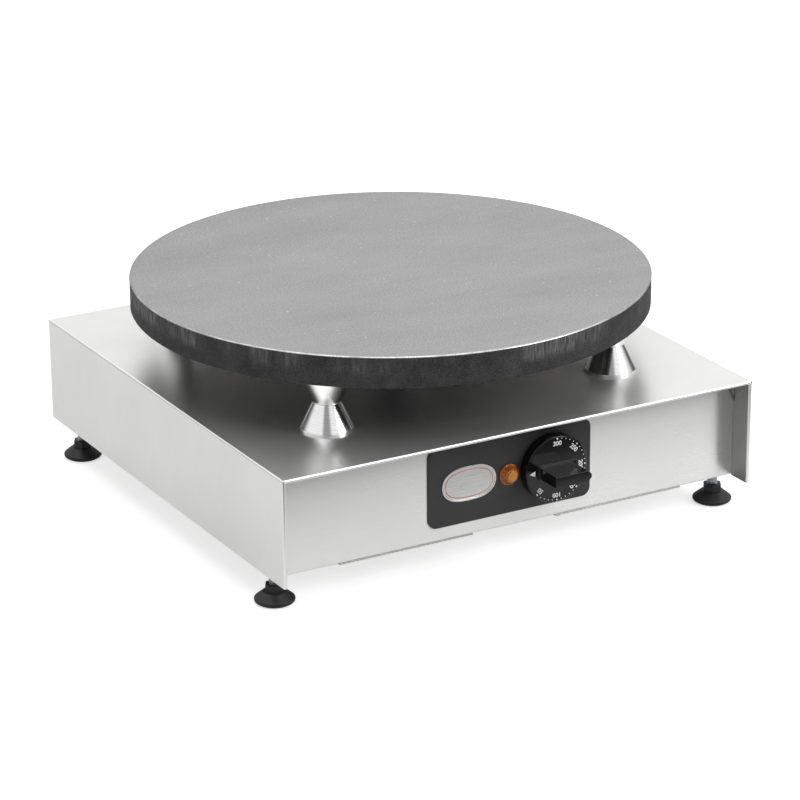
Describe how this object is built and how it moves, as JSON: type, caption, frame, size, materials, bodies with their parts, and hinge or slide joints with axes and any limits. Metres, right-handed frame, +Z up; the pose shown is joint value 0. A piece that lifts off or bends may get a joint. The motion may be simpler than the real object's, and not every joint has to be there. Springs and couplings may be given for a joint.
{
  "type": "electric crepe maker",
  "caption": "Countertop electric crepe maker: a round cast griddle on turned spacers over a square stainless steel base with a thermostat knob, pilot lamp and screw feet.",
  "frame": {"origin": "on the table under the middle of the griddle, level with the pads' undersides", "axes": "+Z up, -Y towards the user and the control knob, +X to the user's right"},
  "size_m": [0.41, 0.425, 0.173],
  "materials": {
    "stainless": "satin",
    "cast_griddle": "satin",
    "polished_aluminium": "polished",
    "zinc_steel": "satin",
    "element_sheath": "matte",
    "ceramic": "matte",
    "mineral_wool": "matte",
    "copper": "satin",
    "brass": "satin",
    "black_plastic": "matte",
    "phenolic": "satin",
    "rubber": "matte",
    "fascia_panel": "satin",
    "trim_metal": "satin",
    "amber_lens": "gloss",
    "red_plastic": "satin"
  },
  "bodies": {
    "root": {"base_cover": "stainless", "front_panel": "stainless", "rear_panel": "stainless", "bottom_cover": "stainless", "bottom_screws": "zinc_steel", "support_rails": "zinc_steel", "foot_inserts": "zinc_steel", "griddle_plate": "cast_griddle", "spacers": "polished_aluminium", "tie_studs": "zinc_steel", "tie_nuts": "zinc_steel", "tie_washers": "zinc_steel", "heating_elements": "element_sheath", "element_terminals": "ceramic", "element_clamps": "zinc_steel", "clamp_screws": "zinc_steel", "insulation": "mineral_wool", "underpan": "zinc_steel", "underpan_screws": "zinc_steel", "lead_conduit": "zinc_steel", "conduit_bushing": "rubber", "sensor_bulb": "copper", "bulb_clip": "zinc_steel", "capillary": "copper", "control_fascia": "fascia_panel", "badge_plate": "trim_metal", "pilot_lens": "amber_lens", "pilot_body": "black_plastic", "pilot_clip": "zinc_steel", "thermostat_body": "black_plastic", "thermostat_bracket": "zinc_steel", "thermostat_screws": "zinc_steel", "limiter_body": "black_plastic", "limiter_nut": "zinc_steel", "terminal_block": "ceramic", "terminal_screws": "brass", "earth_stud": "zinc_steel", "gland_body": "black_plastic", "gland_cap": "black_plastic", "gland_seal": "rubber", "gland_locknut": "black_plastic"},
    "knob": {"control_knob": "phenolic", "thermostat_shaft": "zinc_steel"},
    "reset_button": {"reset_button": "red_plastic"},
    "stud_front_left": {"foot_stud_front_left": "zinc_steel"},
    "pad_front_left": {"foot_pad_front_left": "black_plastic"},
    "stud_front_right": {"foot_stud_front_right": "zinc_steel"},
    "pad_front_right": {"foot_pad_front_right": "black_plastic"},
    "stud_rear_left": {"foot_stud_rear_left": "zinc_steel"},
    "pad_rear_left": {"foot_pad_rear_left": "black_plastic"},
    "stud_rear_right": {"foot_stud_rear_right": "zinc_steel"},
    "pad_rear_right": {"foot_pad_rear_right": "black_plastic"}
  },
  "joints": [
    {"name": "knob_turn", "type": "hinge", "parent": "root", "child": "knob", "pos_m": [0.0329, -0.19, 0.0662], "axis": [0, 1, 0], "range_deg": [0, 270]},
    {"name": "front_left_rise", "type": "slide", "parent": "root", "child": "stud_front_left", "axis": [0, 0, 1], "range_m": [-0.0085, 0.0085]},
    {"name": "front_left_turn", "type": "hinge", "parent": "stud_front_left", "child": "pad_front_left", "pos_m": [-0.19, -0.165, 0.0072], "axis": [0, 0, 1], "range_deg": [-2450, 2450]},
    {"name": "front_right_rise", "type": "slide", "parent": "root", "child": "stud_front_right", "axis": [0, 0, 1], "range_m": [-0.0085, 0.0085]},
    {"name": "front_right_turn", "type": "hinge", "parent": "stud_front_right", "child": "pad_front_right", "pos_m": [0.19, -0.165, 0.0072], "axis": [0, 0, 1], "range_deg": [-2450, 2450]},
    {"name": "rear_left_rise", "type": "slide", "parent": "root", "child": "stud_rear_left", "axis": [0, 0, 1], "range_m": [-0.0085, 0.0085]},
    {"name": "rear_left_turn", "type": "hinge", "parent": "stud_rear_left", "child": "pad_rear_left", "pos_m": [-0.19, 0.165, 0.0072], "axis": [0, 0, 1], "range_deg": [-2450, 2450]},
    {"name": "rear_right_rise", "type": "slide", "parent": "root", "child": "stud_rear_right", "axis": [0, 0, 1], "range_m": [-0.0085, 0.0085]},
    {"name": "rear_right_turn", "type": "hinge", "parent": "stud_rear_right", "child": "pad_rear_right", "pos_m": [0.19, 0.165, 0.0072], "axis": [0, 0, 1], "range_deg": [-2450, 2450]},
    {"name": "reset_press", "type": "slide", "parent": "root", "child": "reset_button", "axis": [0, 0, 1], "range_m": [0, 0.0018], "stiffness_N_per_m": 800, "springref_m": -0.001}
  ],
  "couplings": [
    {"joint": "front_left_turn", "follows": "front_left_rise", "rad_per_m": 5026.5},
    {"joint": "front_right_turn", "follows": "front_right_rise", "rad_per_m": 5026.5},
    {"joint": "rear_left_turn", "follows": "rear_left_rise", "rad_per_m": 5026.5},
    {"joint": "rear_right_turn", "follows": "rear_right_rise", "rad_per_m": 5026.5}
  ]
}
